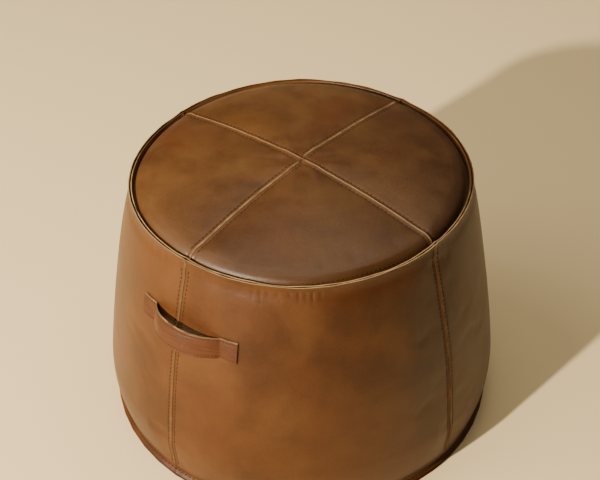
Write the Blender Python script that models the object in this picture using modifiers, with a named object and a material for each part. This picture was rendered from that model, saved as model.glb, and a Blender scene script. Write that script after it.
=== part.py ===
"""Round leather pouf: a panelled leather cover with a carry handle and a base zip, over a lined, firm fill.

Metres, +Z up. The floor is z = 0 and the pouf's axis is the Z axis. The handle is at the front, -Y.
"""
import math

import bmesh
import bpy
from mathutils import Matrix, Vector
from mathutils.geometry import interpolate_bezier

# Driving dimensions
RIM_HEIGHT = 0.3656          # floor to the cut edges that stand up around the top
RIM_RADIUS = 0.2250          # outer face of those edges
CROWN_HEIGHT = 0.3910        # floor to the middle of the top
CROWN_DROP = 0.0180          # from the middle to where the top rolls over
CROWN_ROLL_RADIUS = 0.200
BELLY_RADIUS = 0.2745        # widest part of the side
BELLY_HEIGHT = 0.068
SHOULDER_RADIUS = 0.2285     # side just below the rim
SHOULDER_HEIGHT = 0.350
FOOT_RADIUS = 0.2665         # crease above the bottom edge
FOOT_HEIGHT = 0.0125
BASE_RADIUS = 0.2722         # bottom edge, where side and base are sewn together
LEATHER = 0.0020
LINER = 0.0010
CLEARANCE = 0.0004           # between pieces that lie against each other
SEAM_SHIFT = 0.00025         # moves each quarter out along its diagonal, which parts the seams
QUARTER_STEPS = 12
INNER_STEPS = 24

# Carry handle: one strap, sewn down at both ends, on the front seam
HANDLE_AZIMUTH = math.radians(3.0)
HANDLE_HEIGHT = 0.2675
HANDLE_WIDTH = 0.030
HANDLE_THICKNESS = 0.0036
HANDLE_HALF_SPAN = math.radians(18.0)
HANDLE_LOOP_HALF = math.radians(12.4)
HANDLE_BULGE = 0.0195        # gap between the side and the strap at its middle
HANDLE_LIFT_OFF = 0.0006
HINGE_HALF_SPAN = 0.0441     # from the strap's middle to where its moving part ends
HINGE_GAP = 0.0005

# Zip in the base, on a line behind the middle
ZIP_Y = 0.120
ZIP_HALF_LENGTH = 0.175
ZIP_SLOT_WIDTH = 0.0130
ZIP_LEVEL = 0.0105           # height of the middle of the coils above the floor
COIL_RADIUS = 0.0012
COIL_SPACING = 0.0046        # between the coils' centres
ZIP_TAPE_WIDTH = 0.012
SLIDER_START = -0.150

SIDES = {"front": -90.0, "right": 0.0, "rear": 90.0, "left": 180.0}
QUARTERS = {"rear_right": 0.0, "rear_left": 90.0, "front_left": 180.0, "front_right": 270.0}


def clear_scene():
    for old in list(bpy.data.objects):
        bpy.data.objects.remove(old, do_unlink=True)


def collection(name):
    made = bpy.data.collections.new(name)
    bpy.context.scene.collection.children.link(made)
    return made


def finish_material(name, colour, roughness, metallic=0.0):
    made = bpy.data.materials.new(name)
    made.use_nodes = True
    shader = made.node_tree.nodes["Principled BSDF"]
    shader.inputs["Base Color"].default_value = (*colour, 1.0)
    shader.inputs["Roughness"].default_value = roughness
    shader.inputs["Metallic"].default_value = metallic
    return made


clear_scene()
POUF = collection("leather_pouf")
CUTTERS = collection("cutters")
COVER_LEATHER = finish_material("cover_leather", (0.275, 0.125, 0.052), 0.42)
HANDLE_LEATHER = finish_material("handle_leather", (0.290, 0.120, 0.055), 0.48)
BASE_LEATHER = finish_material("base_leather", (0.120, 0.055, 0.028), 0.70)
SEAM_TAPE = finish_material("seam_tape", (0.560, 0.520, 0.440), 0.85)
LINER_CLOTH = finish_material("liner_cloth", (0.720, 0.690, 0.620), 0.90)
CORE_FOAM = finish_material("core_foam", (0.760, 0.700, 0.520), 0.95)
WADDING = finish_material("wadding", (0.850, 0.840, 0.810), 1.00)
ZIP_CLOTH = finish_material("zip_cloth", (0.070, 0.045, 0.030), 0.85)
ZIP_NYLON = finish_material("zip_nylon", (0.060, 0.040, 0.030), 0.45)
ZIP_METAL = finish_material("zip_metal", (0.330, 0.260, 0.150), 0.35, 1.0)


def add_object(name, mesh, material):
    made = bpy.data.objects.new(name, mesh)
    POUF.objects.link(made)
    mesh.materials.append(material)
    return made


def smooth(mesh, angle=35.0):
    mesh.shade_smooth()
    mesh.set_sharp_from_angle(angle=math.radians(angle))


def mesh_from(bm, name):
    mesh = bpy.data.meshes.new(name)
    bm.to_mesh(mesh)
    bm.free()
    return mesh


def curve_points(knots, count):
    """Points (radius, height) along one Bezier stretch."""
    ends = [Vector((radius, 0.0, height)) for radius, height in knots]
    return [(p.x, p.z) for p in interpolate_bezier(*ends, count)]


def body_profile(upper_count, lower_count):
    """The side's outer surface between the rim and the bottom crease, top to bottom."""
    upper = curve_points(
        [
            (SHOULDER_RADIUS, SHOULDER_HEIGHT),
            (SHOULDER_RADIUS + 0.0174, SHOULDER_HEIGHT - 0.0399),
            (BELLY_RADIUS, BELLY_HEIGHT + 0.022),
            (BELLY_RADIUS, BELLY_HEIGHT),
        ],
        upper_count,
    )
    lower = curve_points(
        [
            (BELLY_RADIUS, BELLY_HEIGHT),
            (BELLY_RADIUS, BELLY_HEIGHT - 0.024),
            (FOOT_RADIUS + 0.0050, FOOT_HEIGHT + 0.012),
            (FOOT_RADIUS, FOOT_HEIGHT),
        ],
        lower_count,
    )
    return upper + lower[1:]


FINE_BODY = body_profile(60, 24)
BODY = body_profile(8, 5)
INNER_BODY = [BODY[i] for i in (1, 3, 5, 7, 9, 10)]


def side_radius(height):
    """Radius of the side's outer surface at a height."""
    for (r_high, z_high), (r_low, z_low) in zip(FINE_BODY, FINE_BODY[1:]):
        if z_low <= height <= z_high:
            share = (z_high - height) / (z_high - z_low)
            return r_high + share * (r_low - r_high)
    return FINE_BODY[0][0]


def crown_height(radius):
    """Height of the top's upper surface at a distance from the axis, inside the rolled edge."""
    return CROWN_HEIGHT - CROWN_DROP * (radius / CROWN_ROLL_RADIUS) ** 2.4


def turned(name, profile, material, steps=INNER_STEPS, turn=360.0, thickness=0.0, start=0.0):
    """A profile of (radius, height) turned about the Z axis, and made a shell when it has a thickness."""
    bm = bmesh.new()
    verts = [bm.verts.new((radius, 0.0, height)) for radius, height in profile]
    for a, b in zip(verts, verts[1:]):
        bm.edges.new((a, b))
    made = add_object(name, mesh_from(bm, name), material)
    screw = made.modifiers.new("turn", "SCREW")
    screw.angle = math.radians(turn)
    screw.steps = steps
    screw.render_steps = steps
    screw.use_merge_vertices = True
    screw.merge_threshold = 0.00005
    screw.use_smooth_shade = True
    if thickness:
        shell = made.modifiers.new("thickness", "SOLIDIFY")
        shell.thickness = thickness
        shell.offset = -1.0
        shell.use_even_offset = True
    made.rotation_euler.z = math.radians(start)
    return made


def wrapped(name, azimuths, heights, gap_at, thickness, material):
    """A strip that follows the side: its inner face is gap_at(azimuth) outside the side's surface."""
    bm = bmesh.new()
    bmesh.ops.create_grid(bm, x_segments=len(azimuths) - 1, y_segments=len(heights) - 1, size=0.5)
    for vert in bm.verts:
        azimuth = azimuths[round((vert.co.x + 0.5) * (len(azimuths) - 1))]
        height = heights[round((vert.co.y + 0.5) * (len(heights) - 1))]
        radius = side_radius(height) + gap_at(azimuth) + max(thickness, 0.0)
        vert.co = (radius * math.sin(azimuth), -radius * math.cos(azimuth), height)
    made = add_object(name, mesh_from(bm, name), material)
    shell = made.modifiers.new("thickness", "SOLIDIFY")
    shell.thickness = abs(thickness)
    shell.offset = -1.0
    shell.use_even_offset = True
    return made


def spread(low, high, count):
    return [low + (high - low) * i / (count - 1) for i in range(count)]


def block_mesh(size, centre):
    bm = bmesh.new()
    bmesh.ops.create_cube(bm, size=1.0)
    bmesh.ops.scale(bm, vec=size, verts=bm.verts)
    bmesh.ops.translate(bm, vec=centre, verts=bm.verts)
    return mesh_from(bm, "block")


def box(name, size, centre, material):
    return add_object(name, block_mesh(size, centre), material)


def flat_outline(name, outlines, low, high, material):
    """Flat closed outlines filled and given a thickness; the second outline is a hole in the first."""
    curve = bpy.data.curves.new(name, "CURVE")
    curve.dimensions = "2D"
    curve.fill_mode = "BOTH"
    curve.extrude = (high - low) / 2.0
    for outline in outlines:
        spline = curve.splines.new("POLY")
        spline.points.add(len(outline) - 1)
        for point, (x, y) in zip(spline.points, outline):
            point.co = (x, y, 0.0, 1.0)
        spline.use_cyclic_u = True
    made = bpy.data.objects.new(name, curve)
    POUF.objects.link(made)
    made.location.z = (low + high) / 2.0
    curve.materials.append(material)
    return made


def circle(radius, count):
    turns = [math.tau * i / count for i in range(count)]
    return [(radius * math.cos(turn), radius * math.sin(turn)) for turn in turns]


def slot(width, half_length, corner_steps=6):
    """Outline of a slot with round ends, centred on the zip."""
    points = []
    for side, start in ((1.0, -90.0), (-1.0, 90.0)):
        for i in range(corner_steps + 1):
            turn = math.radians(start + 180.0 * i / corner_steps)
            x = side * half_length + width / 2.0 * math.cos(turn)
            points.append((x, ZIP_Y + width / 2.0 * math.sin(turn)))
    return points


# Cover: top panels. Each ends in an edge that is turned up against the side's edge.
def top_profile():
    crown = [(r, crown_height(r)) for r in (0.003, 0.040, 0.080, 0.120, 0.160, 0.188)]
    rolled_edge = curve_points(
        [
            (CROWN_ROLL_RADIUS + 0.002, crown_height(CROWN_ROLL_RADIUS) - 0.0010),
            (CROWN_ROLL_RADIUS + 0.011, crown_height(CROWN_ROLL_RADIUS) - 0.0060),
            (RIM_RADIUS - 0.0130, RIM_HEIGHT - 0.0080),
            (RIM_RADIUS - 0.0090, RIM_HEIGHT - 0.0088),
        ],
        4,
    )
    lip = [(RIM_RADIUS - 0.0070, RIM_HEIGHT - 0.0065), (RIM_RADIUS - LEATHER - 0.0026, RIM_HEIGHT)]
    return crown + rolled_edge + lip


# Cover: side panels. The top edge stands up at the rim and the bottom edge turns out over the base.
def side_profile():
    lip = [
        (RIM_RADIUS, RIM_HEIGHT),
        (RIM_RADIUS - 0.0026, RIM_HEIGHT - 0.0075),
        (RIM_RADIUS - 0.0022, RIM_HEIGHT - 0.0105),
    ]
    foot_edge = [(FOOT_RADIUS + 0.0012, FOOT_HEIGHT - 0.0030), (BASE_RADIUS, 0.0054)]
    return lip + BODY + foot_edge


for place, start in QUARTERS.items():
    outward = math.radians(start + 45.0)
    shift = Vector((math.cos(outward), math.sin(outward), 0.0)) * SEAM_SHIFT * math.sqrt(2.0)
    top = turned("top_panel_" + place, top_profile(), COVER_LEATHER, QUARTER_STEPS, 90.0, LEATHER, start)
    side = turned("side_panel_" + place, side_profile(), COVER_LEATHER, QUARTER_STEPS, 90.0, LEATHER, start)
    top.location = shift
    side.location = shift


# Tapes sewn over the backs of the seams
def side_seam_tape(place, middle):
    azimuth = math.radians(middle + 90.0)
    half = 0.011 / BELLY_RADIUS
    heights = [height for radius, height in BODY[1:-1]]
    behind = -(LEATHER + 0.0022)
    tape_azimuths = spread(azimuth - half, azimuth + half, 3)
    wrapped("side_seam_tape_" + place, tape_azimuths, heights[::-1], lambda a: behind, 0.0010, SEAM_TAPE)


def top_seam_tape(place, middle):
    """A narrow strip under the top panels, from near the middle to the rolled edge."""
    half_width = 0.010
    radii = (0.014, 0.060, 0.110, 0.160, 0.192)
    bm = bmesh.new()
    bmesh.ops.create_grid(bm, x_segments=len(radii) - 1, y_segments=1, size=0.5)
    for vert in bm.verts:
        radius = radii[round((vert.co.x + 0.5) * (len(radii) - 1))]
        width = 2.0 * half_width * vert.co.y
        vert.co = (radius, width, crown_height(radius) - LEATHER - 0.0012)
    made = add_object("top_seam_tape_" + place, mesh_from(bm, "top_seam_tape"), SEAM_TAPE)
    shell = made.modifiers.new("thickness", "SOLIDIFY")
    shell.thickness = 0.0008
    shell.offset = -1.0
    made.rotation_euler.z = math.radians(middle)


for place, middle in SIDES.items():
    side_seam_tape(place, middle)
    top_seam_tape(place, middle)


# Lining bag
def inside(offset, profile):
    return [(radius - offset, height) for radius, height in profile]


def under_crown(offset, radii):
    return [(radius, crown_height(radius) - offset) for radius in radii]


inner_top = INNER_BODY[0][1]
inner_foot = INNER_BODY[-1][1]
liner_gap = LEATHER + 0.0042
turned("liner_side", inside(liner_gap, INNER_BODY), LINER_CLOTH, thickness=LINER)

liner_shoulder = [(0.2060, RIM_HEIGHT - 0.0130), (0.2190, 0.3420), (0.2290, inner_top + 0.0012)]
liner_top = under_crown(0.0058, (0.0, 0.060, 0.120, 0.165, 0.192)) + liner_shoulder
turned("liner_top", liner_top, LINER_CLOTH, thickness=LINER)

liner_base_height = 0.0165
liner_foot_radius = INNER_BODY[-1][0] - liner_gap - 0.0010
liner_base = [
    (liner_foot_radius, inner_foot - 0.0012),
    (liner_foot_radius - 0.0080, liner_base_height),
    (0.0, liner_base_height),
]
turned("liner_base", liner_base, LINER_CLOTH, thickness=LINER)

# Fill: a firm core, wrapped and capped with wadding
wrap_gap = liner_gap + LINER + CLEARANCE
wrap_thickness = 0.018
turned("fill_wrap", inside(wrap_gap, INNER_BODY), WADDING, thickness=wrap_thickness)

core_side = inside(wrap_gap + wrap_thickness + 0.0012, INNER_BODY)
turned("fill_core", [(0.0, inner_top)] + core_side + [(0.0, inner_foot)], CORE_FOAM)

top_pad_low = inner_top + CLEARANCE
top_pad = under_crown(0.0074, (0.0, 0.060, 0.120, 0.165, 0.190))
top_pad += [(0.2030, RIM_HEIGHT - 0.0155), (0.2150, 0.3400), (0.2200, top_pad_low), (0.0, top_pad_low)]
turned("fill_top_pad", top_pad, WADDING)

base_pad_high = inner_foot - CLEARANCE
base_pad_low = liner_base_height + LINER + CLEARANCE
base_pad_radius = core_side[-1][0] - 0.004
base_pad = [(0.0, base_pad_high), (base_pad_radius, base_pad_high)]
base_pad += [(base_pad_radius - 0.004, base_pad_low), (0.0, base_pad_low)]
turned("fill_base_pad", base_pad, WADDING)


# Handle
def handle_gap(azimuth):
    """Gap between the side and the strap's inner face: none at the sewn ends, widest in the middle."""
    share = min(abs(azimuth - HANDLE_AZIMUTH) / HANDLE_LOOP_HALF, 1.0)
    return HANDLE_LIFT_OFF + HANDLE_BULGE * (1.0 - share ** 2.6) ** 0.8


def cutter(name, mesh):
    made = bpy.data.objects.new(name, mesh)
    CUTTERS.objects.link(made)
    made.hide_render = True
    made.display_type = "WIRE"
    return made


def combine(made, tool, operation):
    step = made.modifiers.new("combine", "BOOLEAN")
    step.operation = operation
    step.solver = "EXACT"
    step.object = tool


def handle_piece(name, low, high):
    """The part of the whole strap that lies between two square cuts, low and high along it."""
    azimuths = spread(HANDLE_AZIMUTH - HANDLE_HALF_SPAN, HANDLE_AZIMUTH + HANDLE_HALF_SPAN, 31)
    half = HANDLE_WIDTH / 2.0
    heights = spread(HANDLE_HEIGHT - half, HANDLE_HEIGHT + half, 4)
    made = wrapped(name, azimuths, heights, handle_gap, HANDLE_THICKNESS, HANDLE_LEATHER)
    size = (high - low, 0.100, 2.0 * HANDLE_WIDTH)
    tool = cutter(name + "_cut", block_mesh(size, ((low + high) / 2.0, -BELLY_RADIUS, HANDLE_HEIGHT)))
    tool.rotation_euler.z = HANDLE_AZIMUTH
    combine(made, tool, "INTERSECT")


handle_far = 0.120
handle_piece("handle_end_left", -handle_far, -HINGE_HALF_SPAN - HINGE_GAP / 2.0)
handle_piece("handle_strap", -HINGE_HALF_SPAN + HINGE_GAP / 2.0, HINGE_HALF_SPAN - HINGE_GAP / 2.0)
handle_piece("handle_end_right", HINGE_HALF_SPAN + HINGE_GAP / 2.0, handle_far)

patch_half_height = 0.019
patch_half_angle = math.radians(3.6)
for place, side in (("left", -1.0), ("right", 1.0)):
    middle = HANDLE_AZIMUTH + side * (HANDLE_HALF_SPAN + HANDLE_LOOP_HALF) / 2.0
    patch_azimuths = spread(middle - patch_half_angle, middle + patch_half_angle, 4)
    patch_heights = spread(HANDLE_HEIGHT - patch_half_height, HANDLE_HEIGHT + patch_half_height, 3)
    behind = -(LEATHER + 0.0024)
    wrapped("handle_patch_" + place, patch_azimuths, patch_heights, lambda a: behind, 0.0012, SEAM_TAPE)


# Base with its zip: the leather has a slot, bound inside, and the zip is sewn above the binding
flat_outline(
    "base_panel",
    [circle(BASE_RADIUS - 0.0004, 48), slot(ZIP_SLOT_WIDTH, ZIP_HALF_LENGTH)],
    0.0,
    0.0022,
    BASE_LEATHER,
)
binding_high = ZIP_LEVEL - 0.0010
flat_outline(
    "zip_binding",
    [slot(ZIP_SLOT_WIDTH + 0.0030, ZIP_HALF_LENGTH), slot(ZIP_SLOT_WIDTH + 0.0002, ZIP_HALF_LENGTH)],
    0.0022 + CLEARANCE,
    binding_high,
    BASE_LEATHER,
)


def coil(name, y):
    """One row of the zip's teeth, as a round cord along the tape's edge."""
    bm = bmesh.new()
    along = Matrix.Rotation(math.radians(90.0), 4, "Y")
    length = 2.0 * ZIP_HALF_LENGTH - 0.010
    bmesh.ops.create_cone(
        bm,
        cap_ends=True,
        segments=12,
        radius1=COIL_RADIUS,
        radius2=COIL_RADIUS,
        depth=length,
        matrix=Matrix.Translation((0.0, y, ZIP_LEVEL)) @ along,
    )
    made = add_object(name, mesh_from(bm, name), ZIP_NYLON)
    smooth(made.data)


for place, side in (("front", -1.0), ("rear", 1.0)):
    coil("zip_coil_" + place, ZIP_Y + side * COIL_SPACING / 2.0)
    tape_inner = COIL_SPACING / 2.0 + COIL_RADIUS + 0.0003
    tape_middle = ZIP_Y + side * (tape_inner + ZIP_TAPE_WIDTH / 2.0)
    tape_size = (2.0 * ZIP_HALF_LENGTH + 0.010, ZIP_TAPE_WIDTH, 0.0008)
    box("zip_tape_" + place, tape_size, (0.0, tape_middle, ZIP_LEVEL - 0.0001), ZIP_CLOTH)

for place, side in (("left", -1.0), ("right", 1.0)):
    stop_centre = (side * (ZIP_HALF_LENGTH - 0.0025), ZIP_Y, ZIP_LEVEL)
    stop = box("zip_stop_" + place, (0.0030, 0.0064, 0.0032), stop_centre, ZIP_METAL)
    rounded = stop.modifiers.new("rounded", "BEVEL")
    rounded.width = 0.0005
    rounded.segments = 2


# Slider: two plates joined by a wedge that runs between the coils, with two ears that carry the pull
PLATE_LENGTH = 0.0110
PLATE_WIDTH = 0.0088
PLATE = 0.0010
PLATE_RISE = 0.0024          # from the coils' middle to each plate's middle
EAR_X = 0.0030
EAR_Y = 0.0031
EAR_DROP = 0.0042            # from the coils' middle to the ears' middle
PIN_DROP = 0.0052
PIN_SIZE = 0.0010
EYE_OUTER = 0.00125
EYE_INNER = 0.00085
PULL_WIDTH = 0.0046
PULL_LENGTH = 0.018
PULL_THICKNESS = 0.0010
EYE_STEPS = 12

slider_place = (SLIDER_START, ZIP_Y, ZIP_LEVEL)
slider_blocks = [
    ((PLATE_LENGTH, PLATE_WIDTH, PLATE), (0.0, 0.0, -PLATE_RISE)),
    ((0.0040, 0.0014, 2.0 * PLATE_RISE), (-0.0020, 0.0, 0.0)),
    ((0.0022, 0.0010, 0.0036), (EAR_X, -EAR_Y, -EAR_DROP)),
    ((0.0022, 0.0010, 0.0036), (EAR_X, EAR_Y, -EAR_DROP)),
    ((PIN_SIZE, 2.0 * EAR_Y, PIN_SIZE), (EAR_X, 0.0, -PIN_DROP)),
]
slider = box("zip_slider", (PLATE_LENGTH, PLATE_WIDTH, PLATE), (0.0, 0.0, PLATE_RISE), ZIP_METAL)
slider.location = slider_place
for number, (size, centre) in enumerate(slider_blocks):
    tool = cutter("zip_slider_block_%d" % number, block_mesh(size, centre))
    tool.location = slider_place
    combine(slider, tool, "UNION")


def pull_outlines():
    """The pull seen from its side: an eye around the slider's pin, with a flat tab that leaves it."""
    start = math.asin(PULL_THICKNESS / 2.0 / EYE_OUTER)
    turns = spread(start, math.tau - start, EYE_STEPS + 1)
    outer = [(EYE_OUTER * math.cos(turn), EYE_OUTER * math.sin(turn)) for turn in turns]
    outer.append((PULL_LENGTH, -PULL_THICKNESS / 2.0))
    outer.append((PULL_LENGTH, PULL_THICKNESS / 2.0))
    return [outer, circle(EYE_INNER, EYE_STEPS)]


pull = flat_outline("zip_pull", pull_outlines(), -PULL_WIDTH / 2.0, PULL_WIDTH / 2.0, ZIP_METAL)
pull.rotation_euler.x = math.radians(90.0)
pull.location = (SLIDER_START + EAR_X, ZIP_Y, ZIP_LEVEL - PIN_DROP)
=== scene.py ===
import math

import bmesh
import bpy
import numpy as np
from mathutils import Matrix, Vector
from mathutils.geometry import interpolate_bezier


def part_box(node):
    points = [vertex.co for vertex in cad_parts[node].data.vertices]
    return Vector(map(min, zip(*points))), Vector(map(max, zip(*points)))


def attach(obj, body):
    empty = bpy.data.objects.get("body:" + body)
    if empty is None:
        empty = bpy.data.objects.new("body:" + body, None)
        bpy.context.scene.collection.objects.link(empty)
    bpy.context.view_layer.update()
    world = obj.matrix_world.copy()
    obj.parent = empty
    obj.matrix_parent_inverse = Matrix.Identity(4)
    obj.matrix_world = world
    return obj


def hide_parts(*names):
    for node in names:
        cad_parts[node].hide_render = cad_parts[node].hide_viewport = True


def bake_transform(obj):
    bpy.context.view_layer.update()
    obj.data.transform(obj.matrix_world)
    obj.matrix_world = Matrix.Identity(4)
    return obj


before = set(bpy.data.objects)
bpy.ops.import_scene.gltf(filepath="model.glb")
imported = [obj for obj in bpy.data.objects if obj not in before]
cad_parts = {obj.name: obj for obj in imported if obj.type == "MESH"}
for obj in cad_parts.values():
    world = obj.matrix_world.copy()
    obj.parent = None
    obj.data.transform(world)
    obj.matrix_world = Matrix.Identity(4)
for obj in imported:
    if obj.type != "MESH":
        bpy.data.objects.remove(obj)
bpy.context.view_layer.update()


# Cover: eight pieces of thick oiled leather, four round the side and four in the top. They are
# sewn face to face with the cut edges left outside. Here are their outlines, seen in section from
# rim to foot.
RIM_HEIGHT = 0.3656
RIM_RADIUS = 0.2250
CROWN_HEIGHT = 0.3910
CROWN_DROP = 0.0180
CROWN_FLATNESS = 2.4
CROWN_ROLL_RADIUS = 0.200
BELLY_RADIUS = 0.2745
BELLY_HEIGHT = 0.068
SHOULDER_RADIUS = 0.2285
SHOULDER_HEIGHT = 0.350
FOOT_RADIUS = 0.2665
FOOT_HEIGHT = 0.0125
BASE_RADIUS = 0.2722
LEATHER = 0.0018
LIP_DEPTH = 0.0075


def bezier(knots, count):
    ends = [Vector((radius, 0.0, height)) for radius, height in knots]
    return [(p.x, p.z) for p in interpolate_bezier(*ends, count)]


def even_curve(points, blur, count=1600):
    """A fine line through the points, its corners rounded by the blur: (along, radius, height)."""
    points = np.array(points)
    steps = np.hypot(*np.diff(points, axis=0).T)
    along = np.concatenate([[0.0], np.cumsum(steps)])
    fine = np.linspace(0.0, along[-1], count)
    line = np.column_stack([np.interp(fine, along, points[:, k]) for k in (0, 1)])
    half = max(1, int(blur / (along[-1] / count)))
    weights = np.hanning(2 * half + 3)[1:-1]
    weights /= weights.sum()
    before = 2 * line[0] - line[half:0:-1]
    after = 2 * line[-1] - line[-2 : -half - 2 : -1]
    padded = np.vstack([before, line, after])
    smooth = np.column_stack([np.convolve(padded[:, k], weights, "valid") for k in (0, 1)])
    length = np.concatenate([[0.0], np.cumsum(np.hypot(*np.diff(smooth, axis=0).T))])
    return length, smooth[:, 0], smooth[:, 1]


def crown_level(radius):
    return CROWN_HEIGHT - CROWN_DROP * (radius / CROWN_ROLL_RADIUS) ** CROWN_FLATNESS


# Each curve runs from its first knot to its last, and the two between them pull it.
side_lip = [(RIM_RADIUS, RIM_HEIGHT), (RIM_RADIUS - 0.0012, RIM_HEIGHT - LIP_DEPTH)]
side_upper = bezier(
    [
        (SHOULDER_RADIUS, SHOULDER_HEIGHT),
        (SHOULDER_RADIUS + 0.0174, SHOULDER_HEIGHT - 0.0399),
        (BELLY_RADIUS, BELLY_HEIGHT + 0.022),
        (BELLY_RADIUS, BELLY_HEIGHT),
    ],
    60,
)
side_lower = bezier(
    [
        (BELLY_RADIUS, BELLY_HEIGHT),
        (BELLY_RADIUS, BELLY_HEIGHT - 0.024),
        (FOOT_RADIUS + 0.0050, FOOT_HEIGHT + 0.012),
        (FOOT_RADIUS, FOOT_HEIGHT),
    ],
    30,
)
side_foot = [(FOOT_RADIUS + 0.0010, FOOT_HEIGHT - 0.0030), (BASE_RADIUS - 0.0004, 0.0056)]
side_outline = even_curve(side_lip + side_upper + side_lower[1:] + side_foot, 0.0016)
SIDE_ALONG, SIDE_RADIUS, SIDE_LEVEL = side_outline
SIDE_LENGTH = SIDE_ALONG[-1]

crown_part = [(r, crown_level(r)) for r in np.linspace(0.0, CROWN_ROLL_RADIUS, 60)]
roll_part = bezier(
    [
        (CROWN_ROLL_RADIUS + 0.002, crown_level(CROWN_ROLL_RADIUS) - 0.0008),
        (CROWN_ROLL_RADIUS + 0.014, crown_level(CROWN_ROLL_RADIUS) - 0.0050),
        (RIM_RADIUS - 0.0090, RIM_HEIGHT - 0.0010),
        (RIM_RADIUS - 0.0084, RIM_HEIGHT - 0.0088),
    ],
    16,
)
top_lip = [
    (RIM_RADIUS - 0.0074, RIM_HEIGHT - 0.0084),
    (RIM_RADIUS - LEATHER - 0.0026, RIM_HEIGHT),
]
top_outline = even_curve(crown_part + roll_part + top_lip, 0.0010, 2400)
TOP_ALONG, TOP_RADIUS, TOP_LEVEL = top_outline
TOP_LENGTH = TOP_ALONG[-1]


# Leather of the cover: hide dyed through and oiled, which pales where it is stretched or rubbed.
# Its raw edges are the bare split hide. The top's leather is a lighter copy of the side's: painted
# light on the top.
def group_sockets(name, inputs, outputs):
    """A new shader node group: inputs are (name, type, default), outputs are (name, type)."""
    tree = bpy.data.node_groups.new(name, "ShaderNodeTree")
    for label, kind, value in inputs:
        socket = tree.interface.new_socket(label, in_out="INPUT", socket_type=kind)
        if value is not None:
            socket.default_value = value
    for label, kind in outputs:
        tree.interface.new_socket(label, in_out="OUTPUT", socket_type=kind)
    return tree, tree.nodes.new("NodeGroupInput"), tree.nodes.new("NodeGroupOutput")


def node(tree, kind, settings=None, **inputs):
    """Adds a node with its properties. Its inputs, by name or in_0, in_1, are values or sockets."""
    made = tree.nodes.new(kind)
    for key, value in (settings or {}).items():
        setattr(made, key, value)
    for key, value in inputs.items():
        label = key.replace("_", " ")
        socket = made.inputs[int(key[3:])] if key.startswith("in_") else made.inputs[label]
        if isinstance(value, bpy.types.NodeSocket):
            tree.links.new(value, socket)
        else:
            socket.default_value = value
    return made


def noise_value(tree, where, scale, detail, rough=0.5, distortion=0.0):
    made = node(
        tree,
        "ShaderNodeTexNoise",
        Vector=where,
        Scale=scale,
        Detail=detail,
        Roughness=rough,
        Distortion=distortion,
    )
    return made.outputs["Fac"]


def ramp(tree, value, low, high, to_low=0.0, to_high=1.0):
    made = node(tree, "ShaderNodeMapRange", {"interpolation_type": "SMOOTHSTEP"}, in_0=value)
    for index, number in enumerate((low, high, to_low, to_high), start=1):
        made.inputs[index].default_value = number
    return made.outputs[0]


def math_node(tree, operation, a, b=0.0, c=0.0):
    return node(tree, "ShaderNodeMath", {"operation": operation}, in_0=a, in_1=b, in_2=c).outputs[0]


def mix_colour(tree, share, a, b, blend="MIX"):
    made = tree.nodes.new("ShaderNodeMix")
    made.data_type = "RGBA"
    made.blend_type = blend
    for index, value in ((0, share), (6, a), (7, b)):
        if isinstance(value, bpy.types.NodeSocket):
            tree.links.new(value, made.inputs[index])
        else:
            made.inputs[index].default_value = value
    return made.outputs[2]


def shade_of(tree, colour, value):
    """The colour made darker or lighter by a value."""
    grey = node(tree, "ShaderNodeCombineColor", in_0=value, in_1=value, in_2=value).outputs[0]
    return mix_colour(tree, 1.0, colour, grey, "MULTIPLY")


def rgb(r, g, b):
    return (r, g, b, 1.0)


def new_material(name, roughness=0.8, specular=0.3, metallic=0.0):
    made = bpy.data.materials.new(name)
    made.use_nodes = True
    tree = made.node_tree
    shader = tree.nodes["Principled BSDF"]
    shader.inputs["Roughness"].default_value = roughness
    shader.inputs["Specular IOR Level"].default_value = specular
    shader.inputs["Metallic"].default_value = metallic
    return made, tree, shader


def place(tree):
    """Object coordinates, in metres."""
    return tree.nodes.new("ShaderNodeTexCoord").outputs["Object"]


def give_bump(tree, shader, height, distance, strength=1.0):
    bump = node(tree, "ShaderNodeBump", Height=height, Distance=distance, Strength=strength)
    tree.links.new(bump.outputs[0], shader.inputs["Normal"])


EDGES = {"feature": "DISTANCE_TO_EDGE"}


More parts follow.
